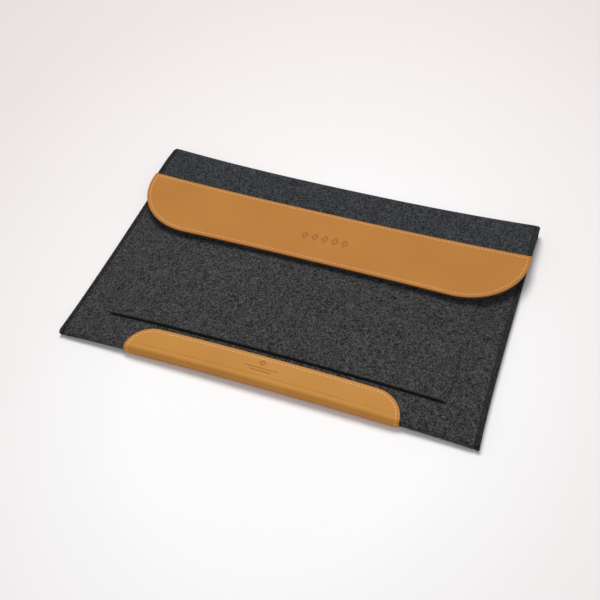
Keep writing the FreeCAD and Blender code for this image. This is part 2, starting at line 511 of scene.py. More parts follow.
print("each tint layer is two nodes: a strength and a mix")

# %% [markdown]
# ## Heathered wool felt
# Wool felt is fibres of several greys pressed together with no weave. The eye sees short curved
# hairs, some pale and some nearly black, over a soft charcoal. Modelled hairs would be far too
# many. A noise whose middle value is picked out gives thin wandering lines instead, which look
# like single fibres. Real wool fibres are about 0.03 mm thick: these lines are drawn several
# times thicker, because finer ones wouldn't show.

# %% Fibres
FIBRE_BEND = 1.6            # how much the noise is bent, which curls the fibres


def fibres(tree, place, spacing, width, turn):
    """Thin wandering lines about a spacing apart, from 0 to 1."""
    moved = node(tree, "ShaderNodeMapping", {"Rotation": turn, "Location": turn, "Vector": place})
    lines = node(tree, "ShaderNodeTexNoise", {
        "Scale": 1 / spacing, "Detail": 2.0, "Roughness": 0.5, "Distortion": FIBRE_BEND,
        "Vector": moved,
    })
    off_middle = node(tree, "ShaderNodeMath", {"operation": "SUBTRACT", 0: lines, 1: 0.5})
    distance = node(tree, "ShaderNodeMath", {"operation": "ABSOLUTE", 0: off_middle})
    return node(tree, "ShaderNodeMapRange", {
        "From Min": width * 0.35, "From Max": width, "To Min": 1.0, "To Max": 0.0,
        "Value": distance,
    })


print("fibres are picked from a noise's middle value")

# %% [markdown]
# ## The felt's recipe
# The ground is two charcoals in clouds of about 5 mm. Over it come tufts of pale wool of about
# 1.7 mm, then grey, nearly black and white fibres. An attribute that the laying step stores
# paints shade into the felt: in the grooves of the seams, just ahead of the pocket's lower edge
# and on that edge's cut face, with a darker strip outside each side seam. The fibres and a fine
# fuzz also drive the bump.
# A low sheen at a rough surface gives felt its dry look, with almost no highlight.

# %% Felt
CLOUD, TUFT, FUZZ = 5 * MM, 1.7 * MM, 0.7 * MM
# Colour of the painted shade in the seams' grooves and at the pocket's lower edge.
PAINTED_SHADE = "070809"


def make_felt(name, ground, shade, pale, dark, depth):
    """Felt from its two ground greys, its pale and dark fibres, and the depth of its nap."""
    material, tree, shader, place = new_material(
        name, 0.95, Sheen_Weight=0.08, Sheen_Roughness=0.35, Specular_IOR_Level=0.12,
    )
    clouds, heather, fuzz = (
        node(tree, "ShaderNodeTexNoise", {
            "Scale": 1 / size, "Detail": detail, "Roughness": roughness, "Vector": place,
        })
        for size, detail, roughness in ((CLOUD, 3.0, 0.6), (TUFT, 2.0, 0.6), (FUZZ, 4.0, 0.7))
    )
    base = node(tree, "ShaderNodeValToRGB", {"Fac": clouds, "stops": [(0.38, shade), (0.62, ground)]})
    tufts = node(tree, "ShaderNodeMapRange", {"From Min": 0.46, "From Max": 0.64, "Value": heather})
    black = fibres(tree, place, 2.1 * MM, 0.07, (0.4, 1.1, 0.3))
    grey = fibres(tree, place, 1.7 * MM, 0.08, (1.3, 0.2, 0.9))
    white = fibres(tree, place, 2.5 * MM, 0.04, (0.7, 0.5, 2.1))
    # The "shade" attribute lays painted shade into grooves and along the pocket's lower edge.
    painted_shade = node(tree, "ShaderNodeAttribute", {"attribute_name": "shade"}, "Fac")
    colour = tinted(tree, base, (
        (tufts, 0.6, pale), (grey, 0.3, pale), (black, 0.65, dark), (white, 0.9, pale),
        (painted_shade, 0.85, PAINTED_SHADE),
    ))
    tree.links.new(colour, shader.inputs["Base Color"])
    raised = node(tree, "ShaderNodeMath", {"operation": "ADD", 0: grey, 1: fuzz})
    height = node(tree, "ShaderNodeMath", {"operation": "SUBTRACT", 0: raised, 1: black})
    bump = node(tree, "ShaderNodeBump", {"Strength": 0.9, "Distance": depth, "Height": height})
    tree.links.new(bump, shader.inputs["Normal"])
    return material


print(f"felt tufts {1000 * TUFT:.1f} mm, clouds {1000 * CLOUD:.0f} mm")

# %% [markdown]
# ## The four felts
# One recipe makes all four, because they differ only in their greys and their nap. Body and
# pocket are the same charcoal, so that the pocket is seen by its edge alone, as on the real case.

# %% Body, pocket, flap and lining
# The body and the pocket are the same charcoal felt, the pocket's with a lower nap.
CHARCOAL = ("1A1A1A", "101010", "6D6D6D", "060606")
felt_material = make_felt("Wool felt, charcoal heather", *CHARCOAL, 0.35 * MM)
pocket_material = make_felt("Thin wool felt, charcoal heather", *CHARCOAL, 0.3 * MM)
# The flap is the same felt as the body, with its nap lying the other way round. Its grey is
# painted slightly darker and cooler, as painted shade for the light that this nap catches less of.
shaded_flap_material = make_felt(
    "Wool felt, charcoal heather, painted darker as shade", "16171A", "0E0F11", "63656A", "050506", 0.35 * MM,
)
# The facing is a brushed synthetic: the same kind of surface, finer, blacker and flatter.
lining_material = make_felt(
    "Brushed microsuede, black", "18181A", "121214", "2C2C2E", "090909", 0.1 * MM,
)
print("felts:", [m.name for m in (felt_material, pocket_material, shaded_flap_material, lining_material)])

# %% [markdown]
# ## Tan leather
# The leather is smooth coated cowhide with a fine closed grain. Its colour is even, a little
# warmer at its rim, because the edge is dyed and burnished. On the patch the same warm tint is
# also painted on the strip where the leather turns under the front fold, as painted shade. The
# grain is cells of about 0.6 mm, drawn with a Voronoi texture as bump only. There is no clear
# coat over it, so the highlight is broad and dull. The burnish, the patch's painted shade and
# the warm stamp follow attributes that the laying step stores, so they keep to the outline and
# the stamp instead of to a place in space.

# %% Leather
HIDE, PORE, GRAIN = 45 * MM, 1.2 * MM, 0.6 * MM


def make_leather(name, deep, light):
    """Leather from the deeper and the lighter tan of its hide."""
    material, tree, shader, place = new_material(name, 0.55, Specular_IOR_Level=0.1, IOR=1.5)
    hide, pores = (
        node(tree, "ShaderNodeTexNoise", {
            "Scale": 1 / size, "Detail": detail, "Roughness": roughness, "Vector": place,
        })
        for size, detail, roughness in ((HIDE, 3.0, 0.5), (PORE, 4.0, 0.7))
    )
    base = node(tree, "ShaderNodeValToRGB", {"Fac": hide, "stops": [(0.3, deep), (0.7, light)]})
    # The "edge" attribute is the burnished rim, and on the patch also painted shade where the leather turns
    # under.
    edge, stamp = (
        node(tree, "ShaderNodeAttribute", {"attribute_name": mark}, "Fac") for mark in ("edge", "stamp")
    )
    colour = tinted(tree, base, (
        (pores, 0.12, "A5682C"), (edge, 0.38, "C06E22"), (stamp, 0.55, "8A5424"),
    ))
    tree.links.new(colour, shader.inputs["Base Color"])
    grain = node(tree, "ShaderNodeTexVoronoi", {
        "feature": "DISTANCE_TO_EDGE", "Scale": 1 / GRAIN, "Vector": place,
    }, "Distance")
    bump = node(tree, "ShaderNodeBump", {"Strength": 0.25, "Distance": 0.06 * MM, "Height": grain})
    tree.links.new(bump, shader.inputs["Normal"])
    return material


band_leather = make_leather("Coated cowhide, tan", "B47835", "BB7E3A")
# The patch is a slightly lighter tan than the band.
patch_leather = make_leather("Coated cowhide, light tan", "C3873E", "CA8E44")
print("leathers:", [m.name for m in (band_leather, patch_leather)])

# %% [markdown]
# ## Thread
# The leather is sewn with a cream bonded polyester thread, which is slightly glossy. Its twist
# is too fine to model on each stitch, so a noise of 0.35 mm stands for it in the bump, and in
# colour as painted shade in the twist's grooves and painted light on its ridges.
# The felt is sewn with the same thread in black, so that its seams are only lines.

# %% Thread
TWIST = 0.35 * MM


def make_thread(name, light, dark):
    """Thread from its light and its dark colour, painted as light on the ridges of its strands and as shade
    in their grooves.
    """
    material, tree, shader, place = new_material(name, 0.5, Specular_IOR_Level=0.4)
    twist_and_shade = node(tree, "ShaderNodeTexNoise", {"Scale": 1 / TWIST, "Detail": 2.0, "Vector": place})
    # Painted light and shade: the colour is lighter where the noise stands high and darker where it is low.
    colour = node(tree, "ShaderNodeValToRGB", {"Fac": twist_and_shade, "stops": [(0.35, dark), (0.6, light)]})
    tree.links.new(colour, shader.inputs["Base Color"])
    bump = node(tree, "ShaderNodeBump", {"Strength": 0.4, "Distance": 0.05 * MM, "Height": twist_and_shade})
    tree.links.new(bump, shader.inputs["Normal"])
    return material


cream_thread = make_thread("Bonded polyester thread, cream", "F0D8B0", "C9A272")
black_thread = make_thread("Bonded polyester thread, black", "2A2B2D", "0C0C0D")
print("threads:", [m.name for m in (cream_thread, black_thread)])

# %% [markdown]
# ## Nickel
# The magnets are nickel-plated discs. Plating is a smooth metal, so the shader is fully metallic
# with a low roughness, and a faint change of grey over 2 mm keeps it from looking perfect.

# %% Nickel plate
nickel, tree, shader, place = new_material("Nickel plate", 0.28, Metallic=1.0)
wear = node(tree, "ShaderNodeTexNoise", {"Scale": 1 / (2 * MM), "Detail": 3.0, "Vector": place})
plate = node(tree, "ShaderNodeValToRGB", {"Fac": wear, "stops": [(0.3, "B5B0A8"), (0.7, "CFCBC4")]})
tree.links.new(plate, shader.inputs["Base Color"])
print("metal:", nickel.name)

# %% [markdown]
# ## Seams in the felt
# Along both sides a seam holds the two layers together and pulls a groove into the felt. The
# pocket's seam pulls in the felt just ahead of its lower edge too. A groove could be a separate
# dark strip, but felt shows it by its shape and by its shadow, so extra cuts beside each line
# let the surface really sink, and the "shade" attribute also paints shade into it.

# %% Seam lines
SEAM_X = (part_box("side_seam_right")[0].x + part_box("side_seam_right")[1].x) / 2
SEAM_WIDTH = 0.54 * MM      # about half the width of a seam's groove
SEAM_DEPTH = 0.7 * MM
SEAM_CUTS = [0, 0.35 * MM, 0.8 * MM, 1.4 * MM]
SEAM_FADE = 9 * MM          # the grooves fade away over this, up to the back fold's middle
POCKET_LINE = 0.5 * MM      # about half the width of the pocket's line
POCKET_PULL = 0.6 * MM      # and its depth
LINE_AHEAD = 0.2 * MM       # the pocket's line lies this far ahead of its edge
side_cuts = around([-SEAM_X, SEAM_X], SEAM_CUTS)


def on_line(distance, width):
    """1 on a line, falling softly to 0 on both sides of it."""
    return math.exp(-(distance / width) ** 2)


def seam_line(x):
    """1 on the side seams and 0 away from them."""
    return on_line(abs(x) - SEAM_X, SEAM_WIDTH)


def seam_shade(x):
    """Painted shade, dark in the seam's groove; the strip outside the seam is darkened nearly as much."""
    return max(seam_line(x), 0.6 * smooth((abs(x) - SEAM_X) / (0.8 * MM)))


def pocket_line(x, y):
    """1 just ahead of the pocket's lower edge, where its seam pulls the felt in; it drives that groove and
    its painted shade.
    """
    if abs(x) > POCKET_HIGH.x:
        return 0.0
    return on_line(y - POCKET_LOW.y + LINE_AHEAD, POCKET_LINE)


print(f"side seams at {1000 * SEAM_X:.1f} mm from the middle, {1000 * SEAM_DEPTH:.1f} mm deep")

# %% [markdown]
# ## Laying the body felt
# The body is laid face up along its line, so a flat depth of 0 is the outer face and the full
# depth is the inner one. Only the outer half is grooved. Above the leather patch the underside
# is pressed in by the leather's thickness, so that the patch lies flush on the table.
# A slow noise adds the small swells of hand-worked felt, because a perfect form looks moulded.

# %% Body on its form
UNEVEN = 0.25 * MM          # height of the small swells
UNEVEN_RUN = 22 * MM        # and their length
PRESS_EDGE = 1.2 * MM       # slope at the rim of the pressed patch
NOSE_S = MOUTH - FRONT      # where the strip reaches the front edge


def unevenness(x, y):
    """Small swells of hand-worked felt, the same at each run, and none at the sewn sides."""
    return UNEVEN * noise.noise(Vector((x, y, 0)) / UNEVEN_RUN) * swell(x)


def patch_press(x, y):
    """1 where the leather patch presses the underside of the felt in."""
    inside_x = smooth((PATCH_HALF + PRESS_EDGE - abs(x - PATCH_MIDDLE)) / PRESS_EDGE)
    inside_y = smooth((PATCH_HIGH.y + PRESS_EDGE - y) / PRESS_EDGE)
    return inside_x * inside_y


def lay_body(flat):
    x, s, depth = flat.x, flat.y, flat.z
    point, normal = body_point(x, s), outward(body_point, x, s)
    under = point.z < 2 * FELT and s > NOSE_S
    press = LEATHER * patch_press(x, point.y) if under and s > NOSE_S + 6 * MM else 0.0
    outer = 1 - depth / FELT
    groove = SEAM_DEPTH * seam_line(x) * (2 * outer - 1 if depth < FELT / 2 else 0.0)
    if s > NOSE_S:
        groove *= 0.5 * smooth((BODY_LENGTH - s) / SEAM_FADE)
    if s < NOSE_S - 5 * MM and depth < FELT / 2:
        groove += POCKET_PULL * pocket_line(x, point.y)
    swells = 0.0 if under else unevenness(x, point.y)
    return point - normal * (depth + groove + press * (0.35 + 0.65 * outer) - swells)


# Painted shade on the outer face: in the side seams' grooves, on the strip outside them, and in the groove
# just ahead of the pocket's edge.
def body_marks(flat):
    if flat.z >= FELT / 2:
        return {"shade": 0.0}
    return {"shade": max(seam_shade(flat.x), pocket_line(flat.x, MOUTH - flat.y))}


print(f"the patch presses the felt in by {1000 * LEATHER:.1f} mm")

# %% [markdown]
# ## The body felt
# The body is cut as a plain rectangle and folded. Its cuts are 3 to 4 mm apart where it is
# nearly flat, and closer round the front fold, at the pocket's line, beside the seams and at
# the back fold, where it bends most or sinks. An even fine grid would need many times the faces.

# %% Fold the body
RIM = 0.5 * MM
fold_s = BODY_LENGTH - HALF_FOLD
body_cuts = spaced(0, BODY_LENGTH, 3.2 * MM)
body_cuts += spaced(NOSE_S - 6 * MM, NOSE_S + 14 * MM, 0.9 * MM)
body_cuts += around([MOUTH - POCKET_LOW.y + LINE_AHEAD], [0, 0.35 * MM, 0.8 * MM, 1.5 * MM])
body_cuts += spaced(fold_s - 2 * MM, BODY_LENGTH, 0.8 * MM)
body_cuts += spaced(fold_s - 12 * MM, fold_s, 1.5 * MM)
bm = cut_sheet(
    (-HALF, HALF), (0, BODY_LENGTH), [0] * 4, spaced(-HALF, HALF, 4 * MM) + side_cuts, body_cuts,
)
thicken(bm, FELT, RIM, keep_sharp=lambda co: co.y > BODY_LENGTH - 1e-5)
lay_sheet(bm, lay_body, body_marks)
body = finish_piece(bm, "felt_body", felt_material)
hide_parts("back_panel", "bottom_fold", "front_panel", "spine")

# %% [markdown]
# ## The flap felt
# The flap is the other end of the strip. Its free corners are rounded to the same radius as the
# leather that covers them, and its two sides carry the same sewn groove up to the leather. The
# groove fades out towards the back fold, where the two strips have to meet exactly.

# %% Fold the flap
CORNER = 45 * MM
GROOVE_END = 4 * MM         # the groove runs out this far under the leather


def lay_flap(flat):
    x, s, depth = flat.x, flat.y, flat.z
    point, normal = flap_point(x, s), outward(flap_point, x, s)
    if depth < FELT / 2:
        groove = SEAM_DEPTH * seam_line(x) * smooth((point.y - BAND_HIGH.y + GROOVE_END) / GROOVE_END)
        depth += groove * smooth(s / SEAM_FADE)
    return point - normal * depth


# Painted shade in the flap's side seams' grooves and on the strip outside them.
def flap_marks(flat):
    return {"shade": seam_shade(flat.x) if flat.z < FELT / 2 else 0.0}


bm = cut_sheet(
    (-HALF, HALF), (0, FLAP_LENGTH), [0, 0, CORNER, CORNER],
    spaced(-HALF, HALF, 4 * MM) + side_cuts,
    spaced(0, FLAP_LENGTH, 3 * MM) + spaced(0, HALF_FOLD + 3 * MM, 0.8 * MM),
)
thicken(bm, FELT, RIM, keep_sharp=lambda co: co.y < 1e-5)
lay_sheet(bm, lay_flap, flap_marks)
flap = finish_piece(bm, "felt_flap", shaded_flap_material)
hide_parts("flap_panel")

# %% [markdown]
# ## Laying the pocket
# A thinner felt panel is sewn on the front by its sides and lower edge, and its upper edge is
# open under the flap. It is laid straight on the front's form and shares its small swells, so
# that it stays clear of the felt under it. Its thread pulls a shallow channel, and its sides are
# pressed lower than its middle.

# %% Pocket on its form
POCKET_FELT = 1.5 * MM
POCKET_SEAM = 1.8 * MM      # the thread's distance from the edge
CHANNEL = 0.2 * MM          # how deep the thread pulls the pocket in
SIDE_PRESS = 0.6 * MM       # how much lower the pocket's sides lie
PRESS_RUN = 5 * MM          # over this much of each side


def front_point(x, y):
    return drawn_in(Vector((x, y, front_height(x, y))))


def lay_on_front(x, y, height):
    normal = -outward(front_point, x, y)
    return front_point(x, y) + normal * (height + unevenness(x, y))


def side_press(x):
    return SIDE_PRESS * (1 - smooth((POCKET_HIGH.x - abs(x)) / PRESS_RUN))


def lay_pocket(flat):
    x, y, height = flat
    if height > POCKET_FELT / 2:
        sewn_edge = min(POCKET_HIGH.x - abs(x), y - POCKET_LOW.y)
        height -= CHANNEL * on_line(sewn_edge - POCKET_SEAM, 0.6 * MM)
        height -= side_press(x)
    return lay_on_front(x, y, height + REST_GAP)


def pocket_marks(flat):
    """Painted shadow on the cut face of the lower edge, a fine dark line across the front."""
    return {"shade": 1 - smooth((flat.y - POCKET_LOW.y) / (0.5 * MM))}


print(f"pocket felt {1000 * POCKET_FELT:.1f} mm thick, pressed to "
      f"{1000 * (POCKET_FELT - SIDE_PRESS):.1f} mm at its sides")

# %% [markdown]
# ## The document pocket
# The pocket is one more rectangle, with two small rounded corners at its front. It has closer
# cuts along its thread, so that the channel shows.

# %% Lay the pocket
bm = cut_sheet(
    (POCKET_LOW.x, POCKET_HIGH.x), (POCKET_LOW.y, POCKET_HIGH.y), [2.5 * MM, 2.5 * MM, 0, 0],
    spaced(POCKET_LOW.x, POCKET_HIGH.x, 4 * MM)
    + around([POCKET_LOW.x + POCKET_SEAM, POCKET_HIGH.x - POCKET_SEAM], [0, 0.5 * MM]),
    spaced(POCKET_LOW.y, POCKET_HIGH.y, 3 * MM)
    + around([POCKET_LOW.y + POCKET_SEAM], [0, 0.5 * MM]),
)
thicken(bm, POCKET_FELT, 0.25 * MM)
lay_sheet(bm, lay_pocket, pocket_marks)
pocket = finish_piece(bm, "felt_pocket", pocket_material)
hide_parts("pocket_panel")
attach(pocket, "root")

# %% [markdown]
# ## The face of sewn leather
# Three things give die-cut leather life: the rim rounds over, the thread pulls a fine channel
# into it, and a warm stamp presses a mark into its middle. Displacement by an image could draw
# all three. Formulas of the distance to the outline are used instead, because they follow the
# rounded corners and stay sharp at any size. The band and the patch share them.

# %% Leather face
STITCH_INSET = 2.3 * MM     # the thread's distance from the edge
STAMP_DEPTH = 0.22 * MM
RIM_RINGS = [0.5 * MM, 1.1 * MM, 1.7 * MM, STITCH_INSET, 2.9 * MM]


def rounded_distance(x, y, half, low, high, radius):
    """Distance inside an outline whose two corners at y low are rounded."""
    straight = min(half - abs(x), y - low, high - y)
    out_x, out_y = abs(x) - (half - radius), (low + radius) - y
    if out_x > 0 and out_y > 0:
        return min(radius - math.hypot(out_x, out_y), high - y)
    return straight


def pressed(distance, slope=0.45 * MM):
    """1 inside a stamped shape and 0 outside it, with a short slope between."""
    return smooth(0.5 - distance / slope)


def leather_face(distance, stamp):
    """How far the leather's upper face is below its full thickness."""
    channel = 0.16 * MM * on_line(distance - STITCH_INSET, 0.55 * MM)
    turn_down = 0.25 * MM * max(0.0, 1 - distance / (1.6 * MM)) ** 2
    return channel + turn_down + STAMP_DEPTH * stamp


def burnish(distance):
    """1 at the rim of the leather, where its edge is dyed, and 0 from 0.7 mm inside it."""
    return 1 - smooth((distance - 0.1 * MM) / (0.6 * MM))


print(f"channel {1000 * leather_face(STITCH_INSET, 0):.2f} mm deep, stamp {1000 * STAMP_DEPTH:.2f} mm")

# %% [markdown]
# ## The mark on the band
# A row of five small lozenges is pressed into the middle of the band. They could be cut with a
# boolean, but a warm stamp has soft slopes, so the amount of pressing is a function: the sum of
# |x| and |y|, each over its half size, is 1 on a lozenge's outline. Each lozenge is pressed as
# a ring, deepest along its outline.

# %% Lozenges
LOZENGES = 5
LOZENGE_PITCH = 7.2 * MM
LOZENGE_HALF = (2.7 * MM, 4.2 * MM)
LOZENGE_SLOPE = 2.2 * MM
LOZENGE_RING = 1.1 * MM
STAMP_MIDDLE = (2.5 * MM, TIP + 23 * MM)


def band_stamp(x, y):
    """A row of plain lozenges."""
    amount = 0.0
    for i in range(LOZENGES):
        centre = STAMP_MIDDLE[0] + (i - (LOZENGES - 1) / 2) * LOZENGE_PITCH
        reach = abs(x - centre) / LOZENGE_HALF[0] + abs(y - STAMP_MIDDLE[1]) / LOZENGE_HALF[1]
        outside = (reach - 1) * LOZENGE_SLOPE
        amount = max(amount, pressed(outside) - 0.75 * pressed(outside + LOZENGE_RING))
    return amount


print(f"{LOZENGES} lozenges, {1000 * LOZENGE_PITCH:.1f} mm apart")

# %% [markdown]
# ## Laying the band
# The band is a little wider than the felt, so that it covers the felt's edge. It is laid on
# the flap's form, and its back edge follows the drawn-in fold. The two magnets under it push up
# faint rounds. They are only 0.12 mm high, so they are part of the laying and not a shape.

# %% Band on its form
OVERHANG = 0.4 * MM
BAND_HALF = HALF + OVERHANG
BAND_TIP = TIP - OVERHANG
BAND_RADIUS = CORNER + OVERHANG
MAGNET_SWELL = 0.12 * MM
MAGNETS = [
    (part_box(f"flap_magnet_{side}")[0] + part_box(f"flap_magnet_{side}")[1]) / 2
    for side in ("left", "right")
]


def magnet_mark(x, y):
    """The faint round that a magnet under the leather pushes up."""
    near = min(math.hypot(x - m.x, y - m.y) for m in MAGNETS)
    return MAGNET_SWELL * pressed(near - 4.2 * MM, 1.4 * MM)


def flap_surface(x, y):
    return Vector((x, y, flap_height(x, y)))


def lay_on_flap(x, y, height):
    y -= BAND_PULL * swell(x) * (y - TIP) / (BAND_HIGH.y - TIP)
    return flap_surface(x, y) - outward(flap_surface, x, y) * height


def band_rim(x, y):
    return rounded_distance(x, y, BAND_HALF, BAND_TIP, BAND_HIGH.y, BAND_RADIUS)


def lay_band(flat):
    x, y, height = flat
    if height > LEATHER / 2:
        height += magnet_mark(x, y) - leather_face(band_rim(x, y), band_stamp(x, y))
    return lay_on_flap(x, y, height + REST_GAP)


def band_marks(flat):
    """The band's straight back edge isn't burnished, so the edge mark fades towards it."""
    x, y, height = flat
    return {
        "edge": burnish(band_rim(x, y)) * smooth((BAND_HIGH.y - y) / (3 * MM)),
        "stamp": band_stamp(x, y) if height > LEATHER / 2 else 0.0,
    }


print(f"band {2000 * BAND_HALF:.1f} mm wide, corners {1000 * BAND_RADIUS:.1f} mm")

# %% [markdown]
# ## The leather band
# The band is die-cut with the flap's rounded corners and sewn all round. Rings inside its rim
# carry the round-over and the channel, and fine cuts run only through the stamp and the magnets.

# %% Lay the band
stamp_x, stamp_y = STAMP_MIDDLE
band_cuts_x = spaced(-BAND_HALF, BAND_HALF, 4 * MM)
band_cuts_x += spaced(stamp_x - 18.5 * MM, stamp_x + 18.5 * MM, 0.45 * MM)
for m in MAGNETS:
    band_cuts_x += spaced(m.x - 5.5 * MM, m.x + 5.5 * MM, 1.1 * MM)
band_cuts_y = spaced(BAND_TIP, BAND_HIGH.y, 3 * MM)
band_cuts_y += spaced(stamp_y - 5 * MM, stamp_y + 5 * MM, 0.45 * MM)
band_cuts_y += spaced(MAGNETS[0].y - 5.5 * MM, MAGNETS[0].y + 5.5 * MM, 1.1 * MM)
bm = cut_sheet(
    (-BAND_HALF, BAND_HALF), (BAND_TIP, BAND_HIGH.y),
    [BAND_RADIUS, BAND_RADIUS, 0.6 * MM, 0.6 * MM], band_cuts_x, band_cuts_y,
    rings=RIM_RINGS + [3.6 * MM],
)
thicken(bm, LEATHER, 0.3 * MM)
lay_sheet(bm, lay_band, band_marks)
band = finish_piece(bm, "leather_band", band_leather)
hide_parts("flap_band")
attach(band, "flap")

# %% [markdown]
# ## Laying the patch
# The patch protects the front edge. It wraps under the felt and up over the front, so it is laid
# along the same line as the body felt, with v measured upwards from the tip of the nose. A fine
# ridge and, just above it, a crease run along the fold, where the leather was pressed round the
# edge. Its mark is a small lozenge over two short bars.

# %% Patch on its form
PATCH_RUN = 17.3 * MM       # up the front from the tip of the nose
PATCH_UNDER = 20.5 * MM     # and back under the case
PATCH_RADIUS = 18 * MM
UNDER_RADIUS = 16 * MM
CREASE = (2.8 * MM, 0.7 * MM, 0.18 * MM)   # place, width and depth
RIDGE = (1.5 * MM, 0.6 * MM, 0.22 * MM)    # place, width and height


def patch_stamp(x, v):
    """A small lozenge over two short bars."""
    reach = abs(x) / (2.6 * MM) + abs(v - 12.2 * MM) / (2.2 * MM)
    outside = (reach - 1) * 1.6 * MM
    lozenge = pressed(outside) - 0.7 * pressed(outside + 0.8 * MM)
    bars = (
        pressed(max(abs(x) - half_length, abs(v - place) - 0.35 * MM), 0.5 * MM)
        for half_length, place in ((11 * MM, 8.4 * MM), (7 * MM, 6.4 * MM))
    )
    return max(lozenge, *bars)


def lay_on_nose(x, v, height):
    """A place on the patch, which is sunk into the felt under the case."""
    x += PATCH_MIDDLE
    centre_y, centre_z, radius = nose(x)
    s = MOUTH - centre_y + math.pi * (radius - FELT / 2) / 2 - v
    point, normal = body_point(x, s), outward(body_point, x, s)
    sunk = LEATHER * smooth((-v - 3 * MM) / (5 * MM))
    if height >= LEATHER / 2:
        height += RIDGE[2] * on_line(v - RIDGE[0], RIDGE[1])
        height -= CREASE[2] * on_line(v - CREASE[0], CREASE[1])
    return point + normal * (height - sunk)


def patch_rim(x, v):
    return rounded_distance(x, -v, PATCH_HALF, -PATCH_RUN, PATCH_UNDER, PATCH_RADIUS)


def lay_patch(flat):
    x, v, height = flat
    if height > LEATHER / 2:
        height -= leather_face(patch_rim(x, v), patch_stamp(x, v))
    return lay_on_nose(x, v, height + REST_GAP)


def patch_marks(flat):
    """The rim is burnished, and the strip below the ridge, where the leather turns under, gets the same
    tint as painted shade.
    """
    x, v, height = flat
    return {
        "edge": max(burnish(patch_rim(x, v)), smooth((0.5 * MM - v) / (1.0 * MM))),
        "stamp": patch_stamp(x, v) if height > LEATHER / 2 else 0.0,
    }


print(f"patch {2000 * PATCH_HALF:.0f} mm wide and {1000 * (PATCH_RUN + PATCH_UNDER):.1f} mm long, cut flat")

# %% [markdown]
# ## The leather patch
# The patch is cut like the band, with four rounded corners. The crease and the ridge are less
# than a millimetre wide, so the cuts there are 0.35 mm apart. With wider ones they vanish.

# %% Lay the patch
patch_cuts_x = spaced(-PATCH_HALF, PATCH_HALF, 3.5 * MM) + spaced(-12 * MM, 12 * MM, 0.4 * MM)
patch_cuts_v = spaced(-PATCH_UNDER, PATCH_RUN, 1.2 * MM) + spaced(5 * MM, 15 * MM, 0.35 * MM)
patch_cuts_v += spaced(-1.5 * MM, 4.5 * MM, 0.35 * MM)
bm = cut_sheet(
    (-PATCH_HALF, PATCH_HALF), (-PATCH_UNDER, PATCH_RUN),
    [UNDER_RADIUS, UNDER_RADIUS, PATCH_RADIUS, PATCH_RADIUS], patch_cuts_x, patch_cuts_v,
    rings=RIM_RINGS,
)
thicken(bm, LEATHER, 0.3 * MM)
lay_sheet(bm, lay_patch, patch_marks)
patch = finish_piece(bm, "leather_patch", patch_leather)
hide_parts("bottom_patch")
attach(patch, "root")

# %% [markdown]
# ## The flap lining
# A thin black facing covers the inside of the flap, where it hides the magnets and the back of
# the band's stitches. It is seen only when the flap is open. It lies against the felt, so it is
# laid along the flap's own line, one felt thickness further in.

# %% Lay the lining
LINING = 0.5 * MM
LINING_CORNER = CORNER - 4 * MM
LINING_BACK = LINING_HIGH.y - 4 * MM       # it stops short of the bend


def lay_lining(flat):
    x, y, height = flat
    share = (FOLD_START - y) / (FOLD_START - TIP)
    s = HALF_FOLD + share * (FLAP_LENGTH - HALF_FOLD)
    return flap_point(x, s) - outward(flap_point, x, s) * (FELT + REST_GAP + height)


bm = cut_sheet(
    (LINING_LOW.x, LINING_HIGH.x), (LINING_LOW.y, LINING_BACK),
    [LINING_CORNER, LINING_CORNER, 2 * MM, 2 * MM],
    spaced(LINING_LOW.x, LINING_HIGH.x, 4 * MM), spaced(LINING_LOW.y, LINING_HIGH.y, 4 * MM),
)
thicken(bm, LINING, 0.12 * MM)
lay_sheet(bm, lay_lining)
lining = finish_piece(bm, "flap_facing", lining_material)
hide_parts("flap_lining")
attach(lining, "flap")

# %% [markdown]
# ## Walking a seam
# A sewing machine makes every stitch the same length on the surface that it sews. Equal steps
# on the flat cut would bunch up where the leather turns round the front fold, so a seam is
# walked in small steps, each step is measured where it is laid, and a stitch asks for the flat
# place at its distance along the laid line.

# %% Seam walking
def along(line, lay, step=0.5 * MM):
    """A flat line in small steps, and the distance travelled to each once it is laid."""
    flat = []
    for (ax, ay), (bx, by) in zip(line, line[1:]):
        count = max(1, round(math.hypot(bx - ax, by - ay) / step))
        flat += [(ax + (bx - ax) * i / count, ay + (by - ay) * i / count) for i in range(count)]
    flat.append(line[-1])
    laid = [lay(x, y) for x, y in flat]
    travelled = [0.0]
    for a, b in zip(laid, laid[1:]):
        travelled.append(travelled[-1] + (b - a).length)
    return flat, travelled


def place_at(flat, travelled, distance):
    """The flat place that is a distance along the laid line."""
    i = min(max(bisect_left(travelled, distance), 1), len(flat) - 1)
    share = (distance - travelled[i - 1]) / max(travelled[i] - travelled[i - 1], 1e-9)
    (ax, ay), (bx, by) = flat[i - 1], flat[i]
    return ax + (bx - ax) * share, ay + (by - ay) * share


print("small steps in a 10 mm seam:", len(along([(0, 0), (0, 10 * MM)], front_point)[0]) - 1)

# %% [markdown]
# ## Stitches
# Thread is what makes the scale of the case readable, so each stitch is a real piece of thread:
# a short rounded bar whose ends dive into the leather. One small sphere of a few dozen faces is
# stretched to a stitch and copied along each line. Curves with a bevel would do too, but a
# sphere that one matrix stretches, turns and places is simpler.

# %% One stitch, many times
PITCH = 2.5 * MM
THREAD = 0.56 * MM
STITCH_ENDS = (0.11, 0.89)  # shares of a pitch where a stitch goes in and out


